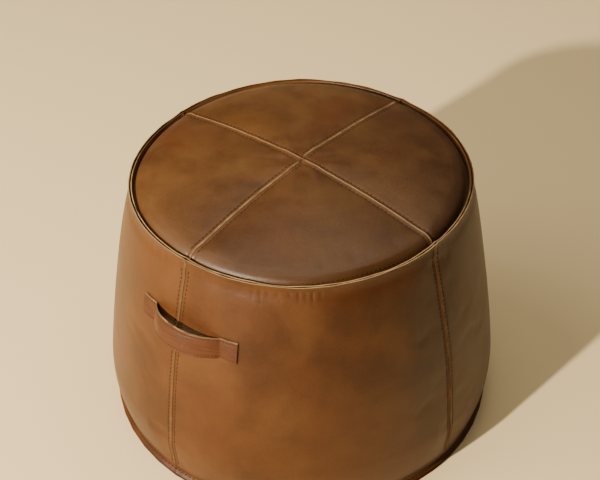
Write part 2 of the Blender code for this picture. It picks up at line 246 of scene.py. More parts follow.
def oiled_leather_group():
    """Clouds of deeper and warmer brown, paler where stretched or rubbed, a fine grain, and a slope
    of painted light and shade.
    """
    inputs = (
        ("Deep", "NodeSocketColor", rgb(0.09, 0.035, 0.014)),
        ("Warm", "NodeSocketColor", rgb(0.22, 0.10, 0.040)),
        ("Worn", "NodeSocketColor", rgb(0.40, 0.24, 0.12)),
        ("Wear", "NodeSocketFloat", 0.5),
        ("Stain", "NodeSocketColor", rgb(0.080, 0.0215, 0.0042)),
        ("Drift", "NodeSocketVector", (0.0, 0.0, 0.0)),
    )
    outputs = (
        ("Colour", "NodeSocketColor"),
        ("Roughness", "NodeSocketFloat"),
        ("Height", "NodeSocketFloat"),
    )
    tree, given, result = group_sockets("oiled_leather", inputs, outputs)
    where = place(tree)

    # Clouds of tone in the dye, from deep to warm.
    clouds = noise_value(tree, where, 6.0, 2.0, 0.45, 0.1)
    mottle = noise_value(tree, where, 26.0, 5.0, 0.55)
    fine_share = math_node(tree, "MULTIPLY", mottle, 0.40)
    tone = ramp(tree, math_node(tree, "MULTIPLY_ADD", clouds, 0.60, fine_share), 0.33, 0.67)
    colour = mix_colour(tree, tone, given.outputs["Deep"], given.outputs["Warm"])

    # Broad rubbed places with small scuffs in them.
    rubbed = ramp(tree, noise_value(tree, where, 14.0, 4.0, 0.5, 0.3), 0.40, 0.80)
    scuffs = ramp(tree, noise_value(tree, where, 230.0, 4.0, 0.7, 1.5), 0.50, 0.72)
    worn = math_node(tree, "MULTIPLY_ADD", scuffs, 0.35, rubbed)
    worn = math_node(tree, "MULTIPLY", worn, given.outputs["Wear"])
    worn = math_node(tree, "MINIMUM", worn, 1.0)
    colour = mix_colour(tree, worn, colour, given.outputs["Worn"])

    # Pores, fine grain, and wider folds whose lines bend about.
    cells = node(tree, "ShaderNodeTexVoronoi", EDGES, Vector=where, Scale=760.0)
    pores = ramp(tree, cells.outputs["Distance"], 0.0, 0.22)
    fine = noise_value(tree, where, 1500.0, 3.0, 0.6)
    folds = node(tree, "ShaderNodeTexVoronoi", EDGES, Scale=75.0)
    bent = node(
        tree, "ShaderNodeVectorMath", {"operation": "MULTIPLY_ADD"}, in_1=(0.012,) * 3, in_2=where
    )
    bend = node(tree, "ShaderNodeTexNoise", Vector=where, Scale=30.0, Detail=2.0)
    tree.links.new(bend.outputs["Color"], bent.inputs[0])
    tree.links.new(bent.outputs[0], folds.inputs["Vector"])
    fold_lines = ramp(tree, folds.outputs["Distance"], 0.0, 0.10)
    grain = math_node(tree, "MULTIPLY", fine, 0.30)
    height = math_node(tree, "MULTIPLY_ADD", pores, 0.30, grain)
    height = math_node(tree, "MULTIPLY_ADD", fold_lines, 0.25, height)

    # Old stains, darker pores, and painted light and shade: a slope of tone across the piece, set
    # for each material.
    stained = ramp(tree, noise_value(tree, where, 9.0, 3.0, 0.5), 0.54, 0.72, 0.0, 0.6)
    colour = mix_colour(tree, stained, colour, given.outputs["Stain"])
    drift = node(tree, "ShaderNodeVectorMath", {"operation": "DOT_PRODUCT"}, in_0=where)
    tree.links.new(given.outputs["Drift"], drift.inputs[1])
    darker = math_node(tree, "MULTIPLY_ADD", pores, 0.16, 0.84)
    darker = math_node(tree, "MULTIPLY_ADD", darker, drift.outputs["Value"], darker)
    colour = shade_of(tree, colour, darker)

    rough = math_node(tree, "MULTIPLY_ADD", mottle, 0.16, 0.30)
    rough = math_node(tree, "MULTIPLY_ADD", worn, 0.12, rough)
    tree.links.new(colour, result.inputs["Colour"])
    tree.links.new(rough, result.inputs["Roughness"])
    tree.links.new(height, result.inputs["Height"])
    return tree


def leather_material(
    name, deep, warm, worn, wear, drift=(0.0, 0.0, 0.0), creases=0.0, bump=0.00028, specular=0.28
):
    """Oiled leather. Its drift is painted light and shade, a change of tone per metre; creases say
    how strongly it is lined.
    """
    made, tree, shader = new_material(name, specular=specular)
    skin = node(
        tree,
        "ShaderNodeGroup",
        {"node_tree": oiled_leather},
        Deep=deep,
        Warm=warm,
        Worn=worn,
        Wear=wear,
        Drift=drift,
    )
    colour, height = skin.outputs["Colour"], skin.outputs["Height"]
    if creases:
        drawn = node(
            tree,
            "ShaderNodeVectorMath",
            {"operation": "MULTIPLY"},
            in_0=place(tree),
            in_1=(0.03, 0.03, 1.0),
        )
        lines = noise_value(tree, drawn.outputs[0], 620.0, 3.0, 0.6, 0.4)
        lines = ramp(tree, lines, 0.38, 0.56)
        pale = math_node(tree, "MULTIPLY_ADD", lines, creases, 1.0 - creases)
        colour = shade_of(tree, colour, pale)
        height = math_node(tree, "MULTIPLY_ADD", lines, 0.5, height)
    tree.links.new(colour, shader.inputs["Base Color"])
    tree.links.new(skin.outputs["Roughness"], shader.inputs["Roughness"])
    give_bump(tree, shader, height, bump, 0.7)
    shader.inputs["Sheen Weight"].default_value = 0.05
    shader.inputs["Sheen Roughness"].default_value = 0.4
    shader.inputs["Sheen Tint"].default_value = rgb(1.0, 0.86, 0.70)
    return made


def cut_edge_material(name, pale, dark):
    """The raw edge of split leather, pale in fibres and patches, with painted shade: darker down
    the side and along the top's front-to-rear seam, and darkest at the rear of the rim."""
    made, tree, shader = new_material(name, roughness=0.85, specular=0.2)
    where = place(tree)
    fibres = noise_value(tree, where, 900.0, 4.0, 0.7)
    patches = noise_value(tree, where, 60.0, 4.0, 0.6)
    share = math_node(tree, "MULTIPLY", patches, 0.55)
    share = math_node(tree, "MULTIPLY_ADD", fibres, 0.45, share)
    # Painted shade: the cut edges darken towards the rear of the rim, below the rim's top and along
    # the front-to-rear seam.
    to_rear = (-0.6, 1.0, 0.0)
    rearward = node(
        tree, "ShaderNodeVectorMath", {"operation": "DOT_PRODUCT"}, in_0=where, in_1=to_rear
    )
    rear_painted_shade = ramp(tree, rearward.outputs["Value"], -0.10, 0.10)
    level = node(
        tree, "ShaderNodeVectorMath", {"operation": "MULTIPLY"}, in_0=where, in_1=(1.0, 1.0, 0.0)
    )
    radius = node(tree, "ShaderNodeVectorMath", {"operation": "LENGTH"}, in_0=level.outputs[0])
    at_rim = ramp(tree, radius.outputs["Value"], 0.206, 0.212, 0.0, 0.38)
    parts = node(tree, "ShaderNodeSeparateXYZ", in_0=where)
    side_painted_shade = ramp(tree, parts.outputs["Z"], 0.350, 0.362, 0.16, 0.0)
    from_seam = math_node(tree, "ABSOLUTE", parts.outputs["X"])
    seam_painted_shade = ramp(tree, from_seam, 0.004, 0.006, 0.12, 0.0)
    for painted_darkening in (math_node(tree, "MULTIPLY", rear_painted_shade, at_rim), side_painted_shade, seam_painted_shade):
        share = math_node(tree, "SUBTRACT", share, painted_darkening)
    colour = mix_colour(tree, ramp(tree, share, 0.22, 0.60), dark, pale)
    tree.links.new(colour, shader.inputs["Base Color"])
    give_bump(tree, shader, fibres, 0.0005)
    return made


oiled_leather = oiled_leather_group()
# The side's drift is painted shade: the leather darkens towards the right, away from the lamps.
cover_leather = leather_material(
    "cover_leather",
    rgb(0.047, 0.0130, 0.0026),
    rgb(0.085, 0.027, 0.0055),
    rgb(0.138, 0.057, 0.0140),
    0.40,
    drift=(-1.0, 0.0, 0.0),
)
# The top's copy is lighter and yellower than the side's, as painted light on the top. Its drift
# paints shade towards the right and a sheen towards the rear.
top_leather = leather_material(
    "top_leather",
    rgb(0.052, 0.0180, 0.0036),
    rgb(0.098, 0.0400, 0.0088),
    rgb(0.145, 0.070, 0.018),
    0.40,
    drift=(-1.9, 0.5, 0.0),
    specular=0.38,
)
cut_edge = cut_edge_material("cut_edge", rgb(0.33, 0.21, 0.100), rgb(0.100, 0.055, 0.021))


# Stuffing of the cover: the tight fill pushes each leather panel out between its seams. One plain
# skin, held at the rim, at the foot and partly along the seams, is blown up to find out by how
# much.
SKIN_COLUMNS = 144
SKIN_TOP_RADII = np.concatenate([np.linspace(0.012, 0.184, 13), [0.196, 0.205]])
SKIN_SIDE_ALONG = np.linspace(0.012, SIDE_LENGTH - 0.012, 44)
SKIN_FRAMES = 20
SKIN_CLOTH = {
    "quality": 6,
    "mass": 0.35,
    "tension_stiffness": 30.0,
    "compression_stiffness": 30.0,
    "shear_stiffness": 10.0,
    "bending_stiffness": 1.5,
    "shrink_min": -0.016,
    "use_pressure": True,
    "uniform_pressure_force": 4.0,
    "vertex_group_mass": "held",
}
SEAM_DEGREES = (0.0, 90.0, 180.0, 270.0)
RIM_VALLEY = 0.0092
SEAM_HOLD = 0.55
SEAM_HOLD_DEGREES = 3.0
SWELL_TURNS = ((3, 0.35), (5, 0.45), (8, 0.4), (13, 0.3))
SWELL_START = 0.0012
SWELL_LIMIT = 0.0030


def direction(azimuth):
    """Outward, level, for an angle measured from the front towards the right, in radians."""
    return np.stack([np.sin(azimuth), -np.cos(azimuth), np.zeros_like(azimuth)], axis=-1)


def degrees_apart(azimuth, degrees):
    return np.abs((np.degrees(azimuth) - degrees + 180.0) % 360.0 - 180.0)


def waves(azimuth, terms, phase):
    """A sum of sines round the pouf that doesn't repeat to the eye; terms are (count, size)."""
    total = np.zeros_like(azimuth)
    for index, (count, size) in enumerate(terms):
        start = phase * (index + 1) * 1.7 + 0.9 * index * index
        total = total + size * np.sin(count * azimuth + start)
    return total


def new_piece(name, points, faces, *materials):
    """A mesh object in the scene, made from its points and faces."""
    mesh = bpy.data.meshes.new(name)
    mesh.from_pydata(points, [], faces)
    for material in materials:
        mesh.materials.append(material)
    piece = bpy.data.objects.new(name, mesh)
    bpy.context.scene.collection.objects.link(piece)
    return piece


def grid_faces(rows, columns, closed=False):
    """Quads of a grid of points numbered row by row."""
    faces = []
    for row in range(rows - 1):
        for column in range(columns if closed else columns - 1):
            after = (column + 1) % columns
            a, b = row * columns, (row + 1) * columns
            faces.append((a + column, b + column, b + after, a + after))
    return faces


def skin_rest():
    """The skin before it swells: rings on the top, one in the rim's valley, and down the side."""
    azimuth = np.linspace(0.0, math.tau, SKIN_COLUMNS, endpoint=False)
    rings = [(radius, np.interp(radius, TOP_RADIUS, TOP_LEVEL)) for radius in SKIN_TOP_RADII]
    rings.append((RIM_RADIUS - RIM_VALLEY, RIM_HEIGHT - RIM_VALLEY))
    for along in SKIN_SIDE_ALONG:
        radius = np.interp(along, SIDE_ALONG, SIDE_RADIUS)
        rings.append((radius, np.interp(along, SIDE_ALONG, SIDE_LEVEL)))
    outward = direction(azimuth)
    points = np.array([outward * radius + np.array([0.0, 0.0, level]) for radius, level in rings])
    return azimuth, points


def swell_skin():
    """Blows the skin up from inside, and returns how far each of its points moved."""
    azimuth, rest = skin_rest()
    rows = rest.shape[0]
    ripple = waves(azimuth, SWELL_TURNS, 1.0)
    depth = np.sin(np.linspace(0.0, math.pi * 3.0, rows))
    uneven = SWELL_START * depth[:, None] * ripple[None, :]
    start = rest + direction(azimuth)[None, :, :] * uneven[:, :, None]
    faces = grid_faces(rows, SKIN_COLUMNS, closed=True)
    skin = new_piece("skin", start.reshape(-1, 3).tolist(), faces)

    apart = np.min([degrees_apart(azimuth, seam) for seam in SEAM_DEGREES], axis=0)
    held = np.zeros((rows, SKIN_COLUMNS))
    held[:] = SEAM_HOLD * np.clip(1.0 - apart / SEAM_HOLD_DEGREES, 0.0, 1.0)[None, :]
    rim_row = len(SKIN_TOP_RADII)
    held[[0, rim_row, rim_row + 1, -1]] = 1.0
    group = skin.vertex_groups.new(name="held")
    for index, weight in enumerate(held.ravel()):
        if weight > 0.0:
            group.add([index], float(weight), "REPLACE")

    cloth = skin.modifiers.new("leather_skin", "CLOTH")
    for key, value in SKIN_CLOTH.items():
        setattr(cloth.settings, key, value)
    cloth.settings.effector_weights.gravity = 0.0
    cloth.collision_settings.use_collision = False
    cloth.point_cache.frame_end = SKIN_FRAMES
    for number in range(1, SKIN_FRAMES + 1):
        bpy.context.scene.frame_set(number)
    evaluated = skin.evaluated_get(bpy.context.evaluated_depsgraph_get())
    moved = np.zeros(rows * SKIN_COLUMNS * 3, np.float32)
    evaluated.data.vertices.foreach_get("co", moved)
    bpy.data.objects.remove(skin)
    bpy.context.scene.frame_set(1)
    return moved.reshape(rest.shape) - rest


def swell_fields():
    """Rise of the top and outward swell of the side, each about its average round, capped."""
    azimuth, _ = skin_rest()
    moved = swell_skin()
    rim_row = len(SKIN_TOP_RADII)
    top = moved[:rim_row, :, 2]
    side = np.sum(moved[rim_row + 1 :] * direction(azimuth)[None], axis=2)
    fields = []
    for field in (top, side):
        field = field - field.mean(axis=1, keepdims=True)
        fields.append(SWELL_LIMIT * np.tanh(field / SWELL_LIMIT))
    return fields


top_swell, side_swell = swell_fields()


def read_field(field, rows, azimuth, row_value):
    """The field's value between its rows and columns; it goes all the way round."""
    column = (azimuth % math.tau) / math.tau * SKIN_COLUMNS
    row = np.interp(row_value, rows, np.arange(len(rows)))
    here = np.floor(column).astype(int) % SKIN_COLUMNS
    beyond = (here + 1) % SKIN_COLUMNS
    above = np.clip(np.floor(row).astype(int), 0, len(rows) - 2)
    share = column - np.floor(column)
    upper = field[above, here] * (1.0 - share) + field[above, beyond] * share
    lower = field[above + 1, here] * (1.0 - share) + field[above + 1, beyond] * share
    return upper * (1.0 - (row - above)) + lower * (row - above)


# Faces of the cover: the side's and the top's leather, where it strays from a plain round form.
# The rim's cut edges waver and lean, and the rim's stitching gathers the side into short creases.
RIM_OVAL = 0.0162
RIM_OVAL_TURN = math.radians(27.1)
RIM_CORNERS = 0.0073
RIM_CORNERS_TURN = math.radians(45.0)
BODY_OVAL = 0.018
SIDE_STEP = 0.0012
TOP_STEP = 0.0006
PUCKER_COUNT = 112
PUCKER_LEAST = 0.0004
PUCKERS_DEEPER = ((0.0015, 38.0, 24.0), (0.0004, -20.0, 40.0))  # depth, azimuth, half width
LEAN_IN = (0.0020, 65.0, 34.0)
LEAN_OUT = (0.0006, -30.0, 50.0)
LIP_WAVER = 0.0013
LIP_BUMP = 0.0010
LIP_BUMP_DEGREES = 3.2
LIP_TURNS = ((7, 0.22), (11, 0.25), (17, 0.22), (29, 0.16), (43, 0.10))


def smooth_step(value, low, high):
    share = np.clip((value - low) / (high - low), 0.0, 1.0)
    return share * share * (3.0 - 2.0 * share)


def hump(azimuth, centre, half_width):
    """1 at an azimuth, in degrees, easing to 0 at a half width from it, all the way round."""
    share = np.clip(degrees_apart(azimuth, centre) / half_width, 0.0, 1.0)
    return 0.5 + 0.5 * np.cos(np.pi * share)


def out_of_round(azimuth):
    """How far the rim is from a true circle, as a share of its radius."""
    oval = RIM_OVAL * np.cos(2.0 * (azimuth + RIM_OVAL_TURN))
    corners = RIM_CORNERS * np.cos(4.0 * (azimuth - RIM_CORNERS_TURN))
    return oval + corners


def pucker(azimuth, depth_below_lip):
    """Narrow creases that run down from the rim's stitching, deepest at the front right."""
    turn = azimuth * PUCKER_COUNT / 2.0 + 1.3 * np.sin(9.0 * azimuth + 0.5)
    turn = turn + 0.9 * np.sin(23.0 * azimuth + 2.0)
    crease = (1.0 - np.abs(np.sin(turn))) ** 2.2
    uneven = 0.6 + 0.4 * np.sin(14.0 * azimuth + 1.1) * np.sin(5.0 * azimuth)
    size = PUCKER_LEAST
    for depth, centre, half_width in PUCKERS_DEEPER:
        size = size + depth * hump(azimuth, centre, half_width)
    end = 0.018 + 0.006 * np.sin(19.0 * azimuth)
    fade = smooth_step(depth_below_lip, -0.002, 0.004)
    fade = fade * (1.0 - smooth_step(depth_below_lip, 0.004, end))
    return -size * uneven * crease * fade


def lip_rise(azimuth, which):
    """Waver of the cut edges' height at the rim, with a bump where a seam runs out."""
    rise = LIP_WAVER * waves(azimuth, LIP_TURNS, 0.4 + 0.45 * which)
    for degrees in SEAM_DEGREES:
        rise = rise + LIP_BUMP * hump(azimuth, degrees, LIP_BUMP_DEGREES)
    return rise


def lip_lean(azimuth):
    """How far the rim leans inwards: most at the right, and a little outwards at the left."""
    return LEAN_IN[0] * hump(azimuth, *LEAN_IN[1:]) - LEAN_OUT[0] * hump(azimuth, *LEAN_OUT[1:])


def outline_at(outline, along, step):
    """Radius, height and outward direction of an outline at a distance along it."""
    lengths, radii, levels = outline
    ahead = np.clip(along + step, 0.0, lengths[-1])
    behind = np.clip(along - step, 0.0, lengths[-1])
    slope_r = np.interp(ahead, lengths, radii) - np.interp(behind, lengths, radii)
    slope_z = np.interp(ahead, lengths, levels) - np.interp(behind, lengths, levels)
    size = np.hypot(slope_r, slope_z)
    radius = np.interp(along, lengths, radii)
    level = np.interp(along, lengths, levels)
    return radius, level, -slope_z / size, slope_r / size


def raise_points(azimuth, radius, level, out_r, out_z, lift):
    """Points at a radius and height, raised by the lift along the outward direction."""
    points = direction(azimuth) * (radius + out_r * lift)[..., None]
    points[..., 2] = level + out_z * lift
    return points


def side_surface(azimuth, along, lift=0.0):
    """Points on the side's outer face, for a distance down from the cut edge at the rim."""
    azimuth, along, lift = np.broadcast_arrays(azimuth, along, lift)
    radius, level, out_r, out_z = outline_at(side_outline, along, SIDE_STEP)
    body = smooth_step(along, 0.003, 0.020)
    fade = 1.0 - smooth_step(along, 0.02, 0.20)
    radius = radius * (1.0 + (out_of_round(azimuth) - BODY_OVAL * body) * fade)
    lean = lip_lean(azimuth) * smooth_step(along, 0.0, 0.008)
    radius = radius - lean * (1.0 - smooth_step(along, 0.010, 0.045))
    foot = 1.0 - smooth_step(along, SIDE_LENGTH - 0.030, SIDE_LENGTH - 0.010)
    swell = read_field(side_swell, SKIN_SIDE_ALONG, azimuth, along)
    swell = swell * smooth_step(along, 0.008, 0.030) * foot + pucker(azimuth, along - LIP_DEPTH)
    level = level + lip_rise(azimuth, 0) * (1.0 - smooth_step(along, 0.0, 0.009))
    return raise_points(azimuth, radius, level, out_r, out_z, swell + lift)


def top_surface(azimuth, along, lift):
    """Points on the top's outer face, for a distance out from the middle over the leather."""
    azimuth, along, lift = np.broadcast_arrays(azimuth, along, lift)
    flat, level, out_r, out_z = outline_at(top_outline, along, TOP_STEP)
    radius = flat * (1.0 + out_of_round(azimuth) * (flat / RIM_RADIUS) ** 2)
    from_end = TOP_LENGTH - along
    lean = lip_lean(azimuth) * smooth_step(flat, 0.205, 0.213)
    radius = radius - lean * smooth_step(from_end, 0.0, 0.008)
    swell = read_field(top_swell, SKIN_TOP_RADII, azimuth, flat)
    swell = swell * (1.0 - smooth_step(flat, 0.196, 0.212)) * smooth_step(flat, 0.0, 0.020)
    level = level + lip_rise(azimuth, 1) * (1.0 - smooth_step(from_end, 0.0, 0.0075))
    return raise_points(azimuth, radius, level, out_r, out_z, swell + lift)


def top_plan(x, y, lift):
    """Points on the top's outer face, for a place on the plan of a perfectly round top."""
    along = np.interp(np.hypot(x, y), TOP_RADIUS, TOP_ALONG)
    return top_surface(np.arctan2(x, -y), along, lift)


# Seams of the cover: the edges of two panels are pared thin, sewn face to face and turned up side
# by side. They stand as a low ridge, with a line of pressed-in stitches along each side.
SEAM_STEPS = np.array(  # distance from the seam's plane, and height above the leather beside it
    [
        (0.00182, 0.0020),
        (0.00188, 0.0014),
        (0.00202, 0.0007),
        (0.00250, 0.0002),
        (0.00360, 0.0000),
        (0.00480, -0.0002),
        (0.00560, -0.0005),
        (0.00640, -0.0002),
        (0.00850, 0.0000),
        (0.01300, 0.0),
    ]
)
SEAM_CLOSED = np.array([0.0001, 0.0006, 0.0012, 0.0020, 0.0030])
SEAM_WIDTH = SEAM_STEPS[-1, 0]
STITCH_TROUGH = 6
EDGE_STEPS = 4
LIP_LEATHER = 0.00125
SIDE_SEAM = (0.00135, 0.60)  # pared thickness, and share of the full height
ACROSS_SEAM = (0.00150, 0.45)
ALONG_SEAM = (0.00085, 0.60)


def seam_steps(kind):
    """The seam steps for edges pared to a thickness and turned up to a share of the full height."""
    thickness, rise = kind
    apart = SEAM_STEPS[:, 0].copy()
    apart[:EDGE_STEPS] += (thickness - LEATHER) * np.array([1.0, 1.0, 1.0, 0.6])
    return apart, np.where(SEAM_STEPS[:, 1] > 0.0, SEAM_STEPS[:, 1] * rise, SEAM_STEPS[:, 1])


def seam_place(turned_up):
    """Distance from a side seam's plane and height of each step, for edges turned up by a share."""
    steps, rise = seam_steps(SIDE_SEAM)
    apart = np.repeat(steps[:, None], len(turned_up), axis=1)
    count = len(SEAM_CLOSED)
    shut = SEAM_CLOSED[:, None]
    apart[:count] = shut + (apart[:count] - shut) * turned_up[None, :]
    return apart, rise[:, None] * turned_up[None, :]


def seam_azimuth(index, along):
    """Azimuth of a side seam, which wanders by a degree or two on its way down."""
    share = along / SIDE_LENGTH
    wander = (
        -0.65 * np.sin(math.pi * share),
        np.interp(share, [0.0, 0.5, 1.0], [-0.6, -1.1, -2.2]),
        0.5 * np.sin(math.pi * share),
        0.4 * np.sin(1.4 * math.pi * share),
    )[index % 4]
    whole_turn = 360.0 if index == 4 else 0.0
    return np.radians(SEAM_DEGREES[index % 4] + whole_turn + wander)


def side_turned_up(along):
    """How far a side seam's edges are turned up: less under the rim, and hardly at the foot."""
    under_rim = 0.55 + 0.45 * smooth_step(along, 0.005, 0.016)
    at_foot = 0.85 * smooth_step(along, SIDE_LENGTH - 0.020, SIDE_LENGTH - 0.009)
    return under_rim * (1.0 - at_foot)


# Side panels: four of leather, each a quarter of the way round, from the rim's lip to the foot.
# Their lower edges turn out at the floor, where they are sewn to the base.
def apply_modifiers(piece):
    """Replaces the piece's mesh with its evaluated one, and removes its modifiers."""
    graph = bpy.context.evaluated_depsgraph_get()
    final = bpy.data.meshes.new_from_object(piece.evaluated_get(graph))
    piece.modifiers.clear()
    piece.data = final


def shade_smooth(piece, angle):
    piece.data.shade_smooth()
    piece.data.set_sharp_from_angle(angle=math.radians(angle))


def make_panel(name, points, faces, thickness, leather, node_name):
    """One piece of leather from its outer face, thickened inwards but less at the seams."""
    piece = new_piece(name, points.tolist(), faces, leather, cut_edge)
    pared = piece.vertex_groups.new(name="thickness")
    for value in np.unique(thickness):
        pared.add(np.flatnonzero(thickness == value).tolist(), float(value / LEATHER), "REPLACE")
    shell = piece.modifiers.new("thickness", "SOLIDIFY")
    shell.vertex_group = "thickness"
    shell.thickness = LEATHER
    shell.offset = -1.0
    shell.use_even_offset = True
    shell.material_offset_rim = 1
    apply_modifiers(piece)
    shade_smooth(piece, 45.0)
    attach(piece, "cover")
    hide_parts(node_name)


LIP_ROWS = [0.0, 0.0012, 0.0030, 0.0050, 0.0068, 0.0085, 0.0102, 0.0120, 0.0142, 0.0168]
LIP_ROWS += [0.0198, 0.0232, 0.0270]
FOOT_ROWS = [0.0260, 0.0210, 0.0170, 0.0140, 0.0118, 0.0100, 0.0086, 0.0074, 0.0062]
FOOT_ROWS += [0.0050, 0.0036, 0.0020, 0.0]
LIP_ROW_COUNT = 5
BODY_ROWS = 62
SIDE_COLUMNS = 168
side_rows = np.concatenate(
    [
        LIP_ROWS,
        np.linspace(LIP_ROWS[-1], SIDE_LENGTH - FOOT_ROWS[0], BODY_ROWS)[1:-1],
        SIDE_LENGTH - np.array(FOOT_ROWS),
    ]
)


def side_panel(place, index):
    """The quarter between side seam number index and the next one."""
    turned_up = side_turned_up(side_rows)
    apart, height = seam_place(turned_up)
    radius = np.interp(side_rows, SIDE_ALONG, SIDE_RADIUS)
    left = seam_azimuth(index, side_rows) + apart / radius
    right = seam_azimuth(index + 1, side_rows) - apart / radius
    shares = np.linspace(0.0, 1.0, SIDE_COLUMNS)[1:-1, None]
    middle = left[-1] + (right[-1] - left[-1]) * shares
    azimuth = np.concatenate([left, middle, right[::-1]]).T
    lift = np.concatenate([height, np.zeros_like(middle), height[::-1]]).T
    points = side_surface(azimuth, side_rows[:, None], lift)
    thickness = np.full(azimuth.shape, LEATHER)
    thickness[:, :EDGE_STEPS] = thickness[:, -EDGE_STEPS:] = SIDE_SEAM[0]
    thickness[:LIP_ROW_COUNT] = LIP_LEATHER
    make_panel(
        "leather_side_" + place,
        points.reshape(-1, 3),
        grid_faces(*azimuth.shape),
        thickness.ravel(),
        cover_leather,
        "side_panel_" + place,
    )


for index, quarter in enumerate(("front_left", "front_right", "rear_right", "rear_left")):
    side_panel(quarter, (index - 1) % 4)


# Top panels: four quarter circles of leather, each a square patch at the middle with rings round
# it. Their seams cross in the middle, and their outer edges roll over and stand up inside the rim.
PATCH = 0.110
STATION_SPACING = 0.0040
ROW_SPACING = 0.0017
PATCH_RINGS = 16
TOP_LIP = 0.0060
FOLD_ROLL = np.interp(0.2005, TOP_RADIUS, TOP_ALONG)
row_count = int((TOP_LENGTH - FOLD_ROLL) / ROW_SPACING)
top_rows = np.linspace(FOLD_ROLL + ROW_SPACING, TOP_LENGTH, row_count)
stations = np.arange(SEAM_WIDTH, PATCH, STATION_SPACING)
stretch = (PATCH - SEAM_WIDTH) / (stations[-1] - SEAM_WIDTH)
stations = SEAM_WIDTH + (stations - SEAM_WIDTH) * stretch


def top_turned_up(along, other):
    """How far an edge is turned up; other is its distance from a seam that catches it, or None."""
    share = 1.0 - 0.45 * smooth_step(along, TOP_LENGTH - 0.014, TOP_LENGTH - 0.005)
    if other is not None:
        share = share * (0.25 + 0.75 * smooth_step(other, 0.003, 0.010))
    return share


def top_jog(y):
    """The front-to-rear seam's two halves miss each other by a little at the middle."""
    return -0.0015 * np.sign(y) * (1.0 - smooth_step(np.abs(y), 0.01, 0.10))


def step_beside(distance, step, raised, kind):
    """Moves points that are near a seam to their seam steps: distance, height and thickness."""
    steps, rise = seam_steps(kind)
    closed = np.append(SEAM_CLOSED, steps[len(SEAM_CLOSED) :])
    near = step >= 0
    distance = distance.copy()
    height = np.zeros_like(distance)
    thickness = np.full_like(distance, LEATHER)
    shut = closed[step[near]]
    distance[near] = shut + (steps[step[near]] - shut) * raised[near]
    height[near] = rise[step[near]] * raised[near]
    thickness[near & (step < EDGE_STEPS)] = kind[0]
    return distance, height, thickness


def top_point(p, q, along, step_p, step_q, sign_x, sign_y):
    """Points and thickness, at p from the front-to-rear seam and q from the side-to-side seam."""
    caught = top_turned_up(along, np.abs(q))
    p, height_p, thickness_p = step_beside(p, step_p, caught, ACROSS_SEAM)
    q, height_q, thickness_q = step_beside(q, step_q, top_turned_up(along, None), ALONG_SEAM)
    raised = np.maximum(height_p, height_q)
    lift = np.where(raised > 0.0, raised, height_p + height_q)
    x = sign_x * p + top_jog(sign_y * q)
    y = sign_y * q
    inner = np.interp(np.hypot(x, y), TOP_RADIUS, TOP_ALONG)
    along = np.where(along > FOLD_ROLL, along, inner)
    thickness = np.minimum(thickness_p, thickness_q)
    thickness[TOP_LENGTH - along < TOP_LIP] = LIP_LEATHER
    return top_surface(np.arctan2(x, -y), along, lift), thickness


def top_panel(place, sign_x, sign_y):
    """The quarter on one side of each seam: a square patch, then rings out to the rim."""
    steps = len(SEAM_STEPS)
    line = np.concatenate([SEAM_STEPS[:-1, 0], stations])
    count = len(line)
    step_of = np.where(np.arange(count) < steps, np.arange(count), -1)
    patch_p, patch_q = np.meshgrid(line, line, indexing="ij")
    patch_step_p, patch_step_q = np.meshgrid(step_of, step_of, indexing="ij")

    # The patch's outer border, from one seam round the corner to the other, which the rings follow.
    edge_p = np.concatenate([np.full(count, line[-1]), line[::-1][1:]])
    edge_q = np.concatenate([line, np.full(count - 1, line[-1])])
    edge_step_p = np.concatenate([np.full(count, -1), step_of[::-1][1:]])
    edge_step_q = np.concatenate([step_of, np.full(count - 1, -1)])

    def ring_at(radius):
        """The border moved out to a circle, with its seam steps as they are."""
        quarter = np.arcsin(np.clip(line / radius, 0.0, 1.0))
        first = quarter[steps - 1]
        spread = np.linspace(0.0, 1.0, count - steps + 1)
        quarter[steps - 1 :] = first + (math.pi / 4.0 - first) * spread
        half_q = radius * np.sin(quarter)
        half_p = radius * np.cos(quarter)
        ring_p = np.concatenate([half_p, half_q[::-1][1:]])
        return ring_p, np.concatenate([half_q, half_p[::-1][1:]])

    circle_p, circle_q = ring_at(CROWN_ROLL_RADIUS)
    rings = []
    for share in np.linspace(0.0, 1.0, PATCH_RINGS)[1:]:
        rings.append((edge_p + (circle_p - edge_p) * share, edge_q + (circle_q - edge_q) * share))
    for along in top_rows:
        rings.append(ring_at(np.interp(along, TOP_ALONG, TOP_RADIUS)))
    ring_p, ring_q = np.array(rings).transpose(1, 0, 2)
    ring_count, width = ring_p.shape

    all_p = np.concatenate([patch_p.ravel(), ring_p.ravel()])
    all_q = np.concatenate([patch_q.ravel(), ring_q.ravel()])
    all_step_p = np.concatenate([patch_step_p.ravel(), np.tile(edge_step_p, ring_count)])
    all_step_q = np.concatenate([patch_step_q.ravel(), np.tile(edge_step_q, ring_count)])
    all_along = np.interp(np.hypot(all_p, all_q), TOP_RADIUS, TOP_ALONG)
    all_along[len(all_along) - len(top_rows) * width :] = np.repeat(top_rows, width)
    points, thickness = top_point(
        all_p, all_q, all_along, all_step_p, all_step_q, sign_x, sign_y
    )

    faces = grid_faces(count, count)
    inner = [(count - 1) * count + k for k in range(count)]
    inner += [k * count + count - 1 for k in range(count - 2, -1, -1)]
    for row in range(ring_count):
        outer = [count * count + row * width + k for k in range(width)]
        for k in range(width - 1):
            faces.append((inner[k], outer[k], outer[k + 1], inner[k + 1]))
        inner = outer
    if sign_x * sign_y < 0:
        faces = [face[::-1] for face in faces]
    make_panel("leather_top_" + place, points, faces, thickness, top_leather, "top_panel_" + place)


top_panel("front_right", 1, -1)
top_panel("front_left", -1, -1)
top_panel("rear_right", 1, 1)
top_panel("rear_left", -1, 1)


